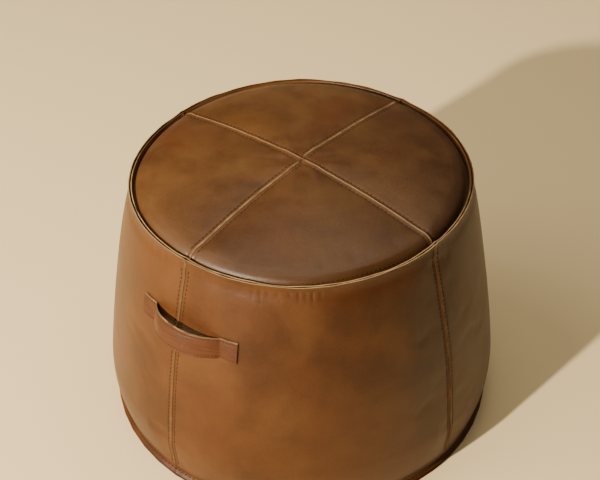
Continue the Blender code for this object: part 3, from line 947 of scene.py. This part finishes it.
# Stitching: waxed brown thread in long stitches. Each seam's turned-up edges are sewn down along
# both sides, and a row runs through the rim and along the crease at the foot.
THREAD_RADIUS = 0.00068
STITCH_LENGTH = 0.0045
STITCH_PITCH = 0.0065
STITCH_SINK = 0.0006
thread, thread_tree, thread_shader = new_material("waxed_thread", roughness=0.7, specular=0.15)
thread_place = place(thread_tree)
strands = noise_value(thread_tree, thread_place, 2600.0, 2.0)
# The thread is brown, made darker than it is: the dark also paints the shade in the stitch holes.
thread_tree.links.new(
    mix_colour(thread_tree, strands, rgb(0.020, 0.0050, 0.0020), rgb(0.055, 0.0145, 0.0048)),
    thread_shader.inputs["Base Color"],
)
give_bump(thread_tree, thread_shader, strands, 0.0003)
# The thread's swelling along one stitch: (share of its length, share of its radius).
STITCH_RINGS = ((-0.5, 0.35), (-0.40, 0.85), (0.0, 1.0), (0.40, 0.85), (0.5, 0.35))
STITCH_SIDES = 6


def face_outwards(mesh, split_ends=False):
    """Turns every face outwards, and splits those of many corners into triangles if asked."""
    bm = bmesh.new()
    bm.from_mesh(mesh)
    bmesh.ops.recalc_face_normals(bm, faces=bm.faces)
    if split_ends:
        bmesh.ops.triangulate(bm, faces=[face for face in bm.faces if len(face.verts) > 4])
    bm.to_mesh(mesh)
    bm.free()


def unit(vectors):
    return vectors / np.linalg.norm(vectors, axis=1, keepdims=True)


def along_line(points, normals, pitch):
    """Evenly spaced places along a line: centres, directions and normals."""
    steps = np.linalg.norm(np.diff(points, axis=0), axis=1)
    length = np.concatenate([[0.0], np.cumsum(steps)])
    count = max(1, int(length[-1] / pitch))
    spots = (np.arange(count) + 0.5) * length[-1] / count

    def read(values, where):
        return np.column_stack([np.interp(where, length, values[:, k]) for k in range(3)])

    run = unit(read(points, spots + 0.001) - read(points, spots - 0.001))
    ups = read(normals, spots)
    ups -= run * np.sum(run * ups, axis=1, keepdims=True)
    return read(points, spots), run, unit(ups)


def sew(
    name,
    lines,
    body="cover",
    pitch=STITCH_PITCH,
    length=STITCH_LENGTH,
    size=THREAD_RADIUS,
):
    """Rows of stitches along lines of (points, normals). Their ends sink into the leather."""
    verts, faces = [], []
    turns = np.arange(STITCH_SIDES) * math.tau / STITCH_SIDES
    for points, normals in lines:
        centres, run, ups = along_line(points, normals, pitch)
        side = np.cross(run, ups)
        for centre, ahead, up, across in zip(centres, run, ups, side):
            base = len(verts)
            for share, swell in STITCH_RINGS:
                sink = STITCH_SINK * (2.0 * abs(share)) ** 2.5
                middle = centre + ahead * (share * length) + up * (size * 0.35 - sink)
                for turn in turns:
                    spoke = across * math.cos(turn) + up * math.sin(turn)
                    verts.append(tuple(middle + spoke * size * swell))
            for ring in range(len(STITCH_RINGS) - 1):
                for k in range(STITCH_SIDES):
                    a, b = base + ring * STITCH_SIDES, base + (ring + 1) * STITCH_SIDES
                    after = (k + 1) % STITCH_SIDES
                    faces.append((a + k, a + after, b + after, b + k))
            last = base + (len(STITCH_RINGS) - 1) * STITCH_SIDES
            faces.append(tuple(base + k for k in range(STITCH_SIDES))[::-1])
            faces.append(tuple(last + k for k in range(STITCH_SIDES)))
    piece = new_piece(name, verts, faces, thread)
    face_outwards(piece.data)
    shade_smooth(piece, 60.0)
    if body:
        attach(piece, body)
    return piece


def surface_line(surface, first, second, lift):
    """A line on a surface and its normals; first and second are the surface's two coordinates."""
    points = surface(first, second, lift)
    above = surface(first, second, lift + 0.001)
    return points, (above - points) / 0.001


ROW_APART, ROW_LIFT = SEAM_STEPS[STITCH_TROUGH]
SEAM_NAMES = ("front", "right", "rear", "left")


def side_rows_beside(index, side):
    """A line beside a side seam."""
    along = np.linspace(0.016, SIDE_LENGTH - 0.020, 240)
    radius = np.interp(along, SIDE_ALONG, SIDE_RADIUS)
    azimuth = seam_azimuth(index, along) + side * ROW_APART / radius
    return surface_line(side_surface, azimuth, along, ROW_LIFT * side_turned_up(along))


def top_rows_beside(along_axis, sign, side):
    """A line beside a seam of the top, from near the middle to where the top rolls over."""
    reach = np.linspace(0.010, 0.2085, 200)
    beside = np.full_like(reach, side * ROW_APART)
    if along_axis == "y":
        return surface_line(top_plan, beside + top_jog(sign * reach), sign * reach, ROW_LIFT)
    return surface_line(top_plan, sign * reach, beside, ROW_LIFT)


round_azimuths = np.linspace(0.0, math.tau, 1441)
for index, seam_name in enumerate(SEAM_NAMES):
    sew("stitches_side_" + seam_name, [side_rows_beside(index, side) for side in (-1, 1)])
top_seams = (("front", "y", -1), ("rear", "y", 1), ("right", "x", 1), ("left", "x", -1))
for seam_name, axis, sign in top_seams:
    sew("stitches_top_" + seam_name, [top_rows_beside(axis, sign, side) for side in (-1, 1)])
RIM_ROW_DROP = 0.0052
RIM_ROW_DIP = 0.0118
FOOT_ROW_RISE = 0.0052
rim_drop = RIM_ROW_DROP + RIM_ROW_DIP * hump(round_azimuths, 58.0, 62.0)
rim_line = surface_line(top_surface, round_azimuths, TOP_LENGTH - rim_drop, 0.0)
sew("stitches_rim", [rim_line], pitch=0.0062)
foot_along = np.full_like(round_azimuths, SIDE_LENGTH - FOOT_ROW_RISE)
sew("stitches_foot", [surface_line(side_surface, round_azimuths, foot_along, 0.0)])


# Carry handle: one strap of two leathers glued back to back, its ends laid flat on the side and
# sewn down in a box. Between them it stands off the side, far enough for a hand. Its cut edges are
# bare.
HANDLE_AZIMUTH = math.radians(3.0)
HANDLE_HEIGHT = 0.2675
HANDLE_WIDTH = 0.030
HANDLE_THICKNESS = 0.0021
HANDLE_HALF_SPAN = math.radians(18.0)
LOOP_HALF_SPAN = math.radians(12.4)
LOOP_BULGE = 0.0180
LOOP_LIFT_OFF = 0.0006
LOOP_TILT = 0.10
STRAP_CROWN = 0.0004
STRAP_GROOVE = 0.0005
STRAP_DROP = 0.0020
STRAP_SLOPE = 0.0018
STRAP_STATIONS = 150

handle_leather = leather_material(
    "handle_leather",
    rgb(0.048, 0.0115, 0.0030),
    rgb(0.080, 0.0210, 0.0052),
    rgb(0.13, 0.046, 0.013),
    0.30,
    creases=0.26,
)


def loop_gap(azimuth):
    """How far the strap's inner face stands off the side, with a fuller curve on its left."""
    share = np.clip((azimuth - HANDLE_AZIMUTH) / LOOP_HALF_SPAN, -1.0, 1.0)
    left = (1.0 - np.abs(share) ** 2.8) ** 0.8
    right = (1.0 - np.abs(share) ** 1.7) ** 0.95
    return LOOP_LIFT_OFF + LOOP_BULGE * np.where(share < 0.0, left, right)


def strap_surface(azimuth, height, outwards):
    """A point on the strap: height is up from its middle line, outwards is from its inner face."""
    share = (azimuth - HANDLE_AZIMUTH) / HANDLE_HALF_SPAN
    level = HANDLE_HEIGHT - STRAP_DROP - STRAP_SLOPE * share + height
    points = side_surface(azimuth, np.interp(-level, -SIDE_LEVEL, SIDE_ALONG))
    gap = loop_gap(azimuth)
    tilt = -LOOP_TILT * height * np.clip(gap / LOOP_BULGE, 0.0, 1.0)
    return points + direction(azimuth) * (gap + outwards + tilt)[..., None]


def strap_section():
    """The strap's section as (height, outwards, is a cut edge), from its inner face's bottom."""
    half = HANDLE_WIDTH / 2.0
    flat = half - 0.0004
    thick = HANDLE_THICKNESS
    section = [(h, 0.0, False) for h in np.linspace(-flat, flat, 9)]
    edge = [(0.0, 0.00025), (0.0002, 0.0006), (-0.0001, 0.0009), (-0.0004, 0.00105)]
    edge += [(-0.0001, 0.0012), (0.0002, 0.0015), (0.0, thick - 0.00025)]
    section += [(half + h, w, True) for h, w in edge]
    for share in np.linspace(1.0, -1.0, 17):
        groove = math.exp(-(((abs(share) - 0.80) / 0.07) ** 2))
        crown = STRAP_CROWN * (1.0 - share**2) - STRAP_GROOVE * groove
        section.append((share * flat, thick + crown, False))
    section += [(-half - h, w, True) for h, w in reversed(edge)]
    return section


def build_strap():
    """The strap as one closed form: its section carried along the side, slightly wavy."""
    section = strap_section()
    azimuths = HANDLE_AZIMUTH + np.linspace(-HANDLE_HALF_SPAN, HANDLE_HALF_SPAN, STRAP_STATIONS)
    heights = np.array([h for h, w, bare in section])
    outwards = np.array([w for h, w, bare in section])
    count = len(section)
    azimuth, height = np.meshgrid(azimuths, heights, indexing="ij")
    outward = np.broadcast_to(outwards, azimuth.shape)
    wave = 0.00012 * np.sin(azimuth * 95.0) + 0.0003 * np.sin(azimuth * 17.0 + 1.0)
    points = strap_surface(azimuth, height + wave, outward).reshape(-1, 3)
    faces, bare = [], []
    for row in range(STRAP_STATIONS - 1):
        for k in range(count):
            after = (k + 1) % count
            a, b = row * count, (row + 1) * count
            faces.append((a + k, b + k, b + after, a + after))
            bare.append(section[k][2] or section[after][2])
    last = (STRAP_STATIONS - 1) * count
    faces.append(tuple(range(count)))
    faces.append(tuple(last + k for k in reversed(range(count))))
    bare += [True, True]
    piece = new_piece("leather_handle", points.tolist(), faces, handle_leather, cut_edge)
    piece.data.polygons.foreach_set("material_index", [int(b) for b in bare])
    face_outwards(piece.data, split_ends=True)
    shade_smooth(piece, 45.0)
    return piece


def blend_handle(piece):
    """Bakes the piece's placement into its points."""
    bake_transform(piece)


def strap_row(azimuth, height):
    """A line on the strap's outer face, and its normals."""
    points = strap_surface(azimuth, height, HANDLE_THICKNESS)
    above = strap_surface(azimuth, height, HANDLE_THICKNESS + 0.001)
    return points, (above - points) / 0.001


strap = build_strap()
blend_handle(strap)
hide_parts("handle_strap", "handle_end_left", "handle_end_right")

STRAP_ROW = 0.0120
BOX_LENGTH = math.radians(4.6)
END_MARGIN = math.radians(0.8)
long_row = np.linspace(-HANDLE_HALF_SPAN + END_MARGIN, HANDLE_HALF_SPAN - END_MARGIN, 300)
cross_row = np.linspace(-STRAP_ROW + 0.003, STRAP_ROW - 0.003, 40)
strap_lines = []
for height in (-STRAP_ROW, STRAP_ROW):
    strap_lines.append(strap_row(HANDLE_AZIMUTH + long_row, np.full_like(long_row, height)))
for end in (-1.0, 1.0):
    for inset in (END_MARGIN, END_MARGIN + BOX_LENGTH):
        azimuth = HANDLE_AZIMUTH + end * (HANDLE_HALF_SPAN - inset)
        strap_lines.append(strap_row(np.full_like(cross_row, azimuth), cross_row))
handle_stitches = sew(
    "stitches_handle",
    strap_lines,
    body=None,
    pitch=0.0046,
    length=0.0031,
    size=0.00034,
)
blend_handle(handle_stitches)


# Behind the leather: woven tape sewn over the backs of the seams, leather patches behind the
# handle's ends, and a calico lining bag. All of them follow the finished cover, which isn't quite
# round.
def follow_cover(points, seam):
    """Moves points made for a round cover to where the finished cover has them."""
    flat = np.hypot(points[:, 0], points[:, 1])
    azimuth = np.arctan2(points[:, 0], -points[:, 1])
    along = np.interp(-points[:, 2], -SIDE_LEVEL, SIDE_ALONG)
    fade = 1.0 - smooth_step(along, 0.02, 0.20)
    share = smooth_step(flat, 0.0, RIM_RADIUS)
    flat = flat * (1.0 + (out_of_round(azimuth) - BODY_OVAL) * fade * share)
    if seam is not None:
        azimuth = azimuth + seam_azimuth(seam, along) - math.radians(SEAM_DEGREES[seam])
    moved = direction(azimuth) * flat[:, None]
    moved[:, 2] = points[:, 2]
    return moved


def inner_piece(
    name, source, material, levels=2, voxel=0.0, lumps=0.0, lump_size=0.03, seam=None
):
    """A soft piece in the place of its plain solid, rounded and uneven, following the cover."""
    piece = bpy.data.objects.new(name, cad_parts[source].data.copy())
    bpy.context.scene.collection.objects.link(piece)
    if voxel:
        remesh = piece.modifiers.new("even_mesh", "REMESH")
        remesh.mode = "VOXEL"
        remesh.voxel_size = voxel
        relax = piece.modifiers.new("rounded", "SMOOTH")
        relax.factor = 0.5
        relax.iterations = 6
    else:
        finer = piece.modifiers.new("finer", "SUBSURF")
        finer.subdivision_type = "SIMPLE"
        finer.levels = levels
        finer.render_levels = levels
    if lumps:
        pattern = bpy.data.textures.new(name + "_lumps", "CLOUDS")
        pattern.noise_scale = lump_size
        uneven = piece.modifiers.new("uneven", "DISPLACE")
        uneven.texture = pattern
        uneven.strength = lumps
        uneven.mid_level = 1.0
    apply_modifiers(piece)
    count = len(piece.data.vertices)
    points = np.zeros(count * 3)
    piece.data.vertices.foreach_get("co", points)
    piece.data.vertices.foreach_set("co", follow_cover(points.reshape(-1, 3), seam).ravel())
    piece.data.update()
    piece.data.materials.clear()
    piece.data.materials.append(material)
    shade_smooth(piece, 50.0)
    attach(piece, "cover")
    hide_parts(source)
    return piece


def woven_material(name, dark, light, thread_size):
    """Plain-woven cloth: threads over and under in two directions, with slubs."""
    made, tree, shader = new_material(name, roughness=0.92, specular=0.15)
    where = place(tree)
    parts = node(tree, "ShaderNodeSeparateXYZ", in_0=where)
    turned = math_node(tree, "ARCTAN2", parts.outputs["X"], parts.outputs["Y"])
    wave = math.tau / thread_size
    warp = math_node(tree, "SINE", math_node(tree, "MULTIPLY", turned, wave * 0.25))
    weft = math_node(tree, "SINE", math_node(tree, "MULTIPLY", parts.outputs["Z"], wave))
    height = math_node(tree, "MULTIPLY_ADD", math_node(tree, "MULTIPLY", warp, weft), 0.5, 0.5)
    slubs = noise_value(tree, where, 260.0, 4.0, 0.6)
    share = math_node(tree, "MULTIPLY_ADD", height, 0.4, math_node(tree, "MULTIPLY", slubs, 0.6))
    colour = mix_colour(tree, ramp(tree, share, 0.25, 0.75), dark, light)
    tree.links.new(colour, shader.inputs["Base Color"])
    give_bump(tree, shader, height, 0.0004)
    return made


tape_cloth = woven_material("seam_tape_cloth", rgb(0.36, 0.32, 0.25), rgb(0.58, 0.53, 0.44), 0.0012)
calico = woven_material("lining_calico", rgb(0.52, 0.47, 0.37), rgb(0.74, 0.70, 0.60), 0.0009)
for index, side in enumerate(SEAM_NAMES):
    inner_piece("tape_side_" + side, "side_seam_tape_" + side, tape_cloth, seam=index)
    inner_piece("tape_top_" + side, "top_seam_tape_" + side, tape_cloth, levels=3)
for end in ("left", "right"):
    inner_piece("leather_patch_" + end, "handle_patch_" + end, cover_leather)
inner_piece("lining_side", "liner_side", calico, levels=3, lumps=0.0004)
inner_piece("lining_top", "liner_top", calico, lumps=0.0004)
inner_piece("lining_base", "liner_base", calico, levels=3, lumps=0.0003)


# Fill: firm foam in the middle, wrapped and capped with polyester wadding, and packed in tightly.
# Open cells show in the foam's surface and loose fibres in the wadding's.
def fibre_material(name, dark, light, scale, distance):
    """Soft fill: a colour that drifts, and fine fibres or cells."""
    made, tree, shader = new_material(name, roughness=0.95, specular=0.15)
    where = place(tree)
    cells = noise_value(tree, where, scale, 6.0, 0.65)
    drift = noise_value(tree, where, scale / 40.0, 2.0)
    share = math_node(tree, "MULTIPLY_ADD", cells, 0.6, math_node(tree, "MULTIPLY", drift, 0.4))
    colour = mix_colour(tree, ramp(tree, share, 0.35, 0.65), dark, light)
    tree.links.new(colour, shader.inputs["Base Color"])
    give_bump(tree, shader, cells, distance)
    return made


foam = fibre_material(
    "firm_foam", rgb(0.62, 0.54, 0.34), rgb(0.78, 0.70, 0.50), 900.0, 0.0006
)
wadding = fibre_material(
    "loose_wadding", rgb(0.70, 0.69, 0.66), rgb(0.86, 0.85, 0.82), 420.0, 0.0015
)
core = inner_piece(
    "foam_core", "fill_core", foam, voxel=0.008, lumps=0.0015, lump_size=0.06
)
wrap = inner_piece("wadding_wrap", "fill_wrap", wadding, voxel=0.006, lumps=0.0012)
top_pad = inner_piece(
    "wadding_top_pad", "fill_top_pad", wadding, voxel=0.006, lumps=0.0015
)
base_pad = inner_piece(
    "wadding_base_pad", "fill_base_pad", wadding, levels=3, lumps=0.0004
)


# Base panel: a disc of rough split leather, which is sewn to the foot of the side. It has a slot
# for the zip through which the pouf is filled.
def refinish(source, material):
    """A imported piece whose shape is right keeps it, with a proper finish."""
    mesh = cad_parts[source].data
    mesh.materials.clear()
    mesh.materials.append(material)


base_leather = leather_material(
    "base_split_leather",
    rgb(0.060, 0.026, 0.012),
    rgb(0.110, 0.052, 0.024),
    rgb(0.17, 0.09, 0.045),
    0.4,
    bump=0.0009,
    specular=0.2,
)
refinish("base_panel", base_leather)


# Zip: woven tapes bound in under the base's slot, with a coil of nylon thread sewn along each. The
# slider, its pull and the end stops are old brass.
COIL_RADIUS = 0.0012
COIL_WIRE = 0.00038
COIL_PITCH = 0.0016
COIL_STEPS = 9
WIRE_SIDES = 5
zip_cloth = woven_material(
    "zip_tape_cloth", rgb(0.035, 0.022, 0.014), rgb(0.085, 0.055, 0.036), 0.0008
)


def worn_hard_material(name, dark, light, roughness, metallic):
    """Nylon or metal with a little polish wear and fine scratches."""
    made, tree, shader = new_material(name, metallic=metallic)
    where = place(tree)
    rubbed = noise_value(tree, where, 350.0, 5.0, 0.7)
    scratches = noise_value(tree, where, 2400.0, 2.0, 0.5, 2.0)
    colour = mix_colour(tree, ramp(tree, rubbed, 0.35, 0.70), dark, light)
    tree.links.new(colour, shader.inputs["Base Color"])
    rough = math_node(tree, "MULTIPLY_ADD", scratches, 0.25, roughness)
    tree.links.new(rough, shader.inputs["Roughness"])
    give_bump(tree, shader, scratches, 0.0001)
    return made


zip_nylon = worn_hard_material(
    "zip_nylon", rgb(0.030, 0.018, 0.012), rgb(0.080, 0.052, 0.036), 0.35, 0.0
)
zip_brass = worn_hard_material(
    "zip_old_brass", rgb(0.16, 0.11, 0.055), rgb(0.42, 0.31, 0.16), 0.22, 1.0
)


def coil_piece(name, source):
    """One coil of nylon thread, wound on the length of its plain solid."""
    low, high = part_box(source)
    centre_y, centre_z = (low.y + high.y) / 2.0, (low.z + high.z) / 2.0
    count = int((high.x - low.x) / COIL_PITCH) * COIL_STEPS
    angle = np.arange(count) * math.tau / COIL_STEPS
    radius = COIL_RADIUS - COIL_WIRE
    x = np.linspace(low.x + COIL_WIRE, high.x - COIL_WIRE, count)
    y, z = centre_y + radius * np.cos(angle), centre_z + radius * np.sin(angle)
    centre = np.column_stack([x, y, z])
    out = np.column_stack([np.zeros(count), np.cos(angle), np.sin(angle)])
    side = np.cross(unit(np.gradient(centre, axis=0)), out)
    turn = (np.arange(WIRE_SIDES) * math.tau / WIRE_SIDES)[None, :, None]
    spokes = out[:, None, :] * np.cos(turn) + side[:, None, :] * np.sin(turn)
    points = centre[:, None, :] + COIL_WIRE * spokes
    faces = []
    for row in range(count - 1):
        here, beyond = row * WIRE_SIDES, (row + 1) * WIRE_SIDES
        for k in range(WIRE_SIDES):
            after = (k + 1) % WIRE_SIDES
            faces.append((here + k, beyond + k, beyond + after, here + after))
    last = (count - 1) * WIRE_SIDES
    faces.append(tuple(range(WIRE_SIDES)))
    faces.append(tuple(last + k for k in reversed(range(WIRE_SIDES))))
    piece = new_piece(name, points.reshape(-1, 3).tolist(), faces, zip_nylon)
    face_outwards(piece.data)
    shade_smooth(piece, 80.0)
    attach(piece, "cover")
    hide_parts(source)


coil_piece("zip_teeth_front", "zip_coil_front")
coil_piece("zip_teeth_rear", "zip_coil_rear")
for source in ("zip_binding", "zip_tape_front", "zip_tape_rear"):
    refinish(source, zip_cloth)
for source in ("zip_stop_left", "zip_stop_right", "zip_slider", "zip_pull"):
    refinish(source, zip_brass)


# Floor, lights and camera: a pale matte floor with no walls. One small warm lamp, low at the
# front, throws the shadow, and two broad weak ones and the room fill it in.
FLOOR_HALF = 6.0
floor_paint, _, floor_shader = new_material("pale_floor", roughness=0.9, specular=0.1)
floor_shader.inputs["Base Color"].default_value = rgb(0.84, 0.67, 0.385)
corners = [(x * FLOOR_HALF, y * FLOOR_HALF, 0.0) for x, y in ((-1, -1), (1, -1), (1, 1), (-1, 1))]
new_piece("floor", corners, [(0, 1, 2, 3)], floor_paint)

world = bpy.data.worlds.new("room")
bpy.context.scene.world = world
world.use_nodes = True
room_light = world.node_tree.nodes["Background"]
room_light.inputs["Color"].default_value = rgb(1.0, 0.90, 0.76)
room_light.inputs["Strength"].default_value = 0.048


LIGHT_AIM = 0.2


def area_light(name, azimuth, elevation, distance, size, power, colour):
    data = bpy.data.lights.new(name, "AREA")
    data.shape = "DISK"
    data.size = size
    data.energy = power
    data.color = colour
    light = bpy.data.objects.new(name, data)
    bpy.context.scene.collection.objects.link(light)
    turn, tip = math.radians(azimuth), math.radians(elevation)
    aim = Vector((0.0, 0.0, LIGHT_AIM))
    level = math.cos(tip)
    towards = Vector((math.sin(turn) * level, -math.cos(turn) * level, math.sin(tip)))
    light.location = aim + distance * towards
    light.rotation_euler = (light.location - aim).to_track_quat("Z", "Y").to_euler()


area_light("key", -3.7, 25.4, 4.0, 0.14, 400.0, (1.0, 0.86, 0.68))
area_light("left_fill", -46.0, 50.0, 3.0, 2.2, 51.0, (1.0, 0.90, 0.74))
area_light("overhead", 190.0, 80.0, 3.0, 2.6, 46.0, (1.0, 0.88, 0.70))

# The camera stands at the right of the front and looks down. Its heading and tilt place the pouf.
CAMERA_AZIMUTH = math.radians(39.81)
CAMERA_ELEVATION = math.radians(37.93)
CAMERA_HEADING = math.radians(39.89)
CAMERA_TILT = math.radians(40.62)
CAMERA_DISTANCE = 1.8623
camera_data = bpy.data.cameras.new("camera")
camera_data.lens = 84.0
camera_data.sensor_width = 36.0
camera = bpy.data.objects.new("camera", camera_data)
bpy.context.scene.collection.objects.link(camera)
reach = CAMERA_DISTANCE * math.cos(CAMERA_ELEVATION)
camera.location = (
    reach * math.sin(CAMERA_AZIMUTH),
    -reach * math.cos(CAMERA_AZIMUTH),
    RIM_HEIGHT + CAMERA_DISTANCE * math.sin(CAMERA_ELEVATION),
)
camera.rotation_euler = (math.pi / 2.0 - CAMERA_TILT, 0.0, CAMERA_HEADING)
bpy.context.scene.camera = camera
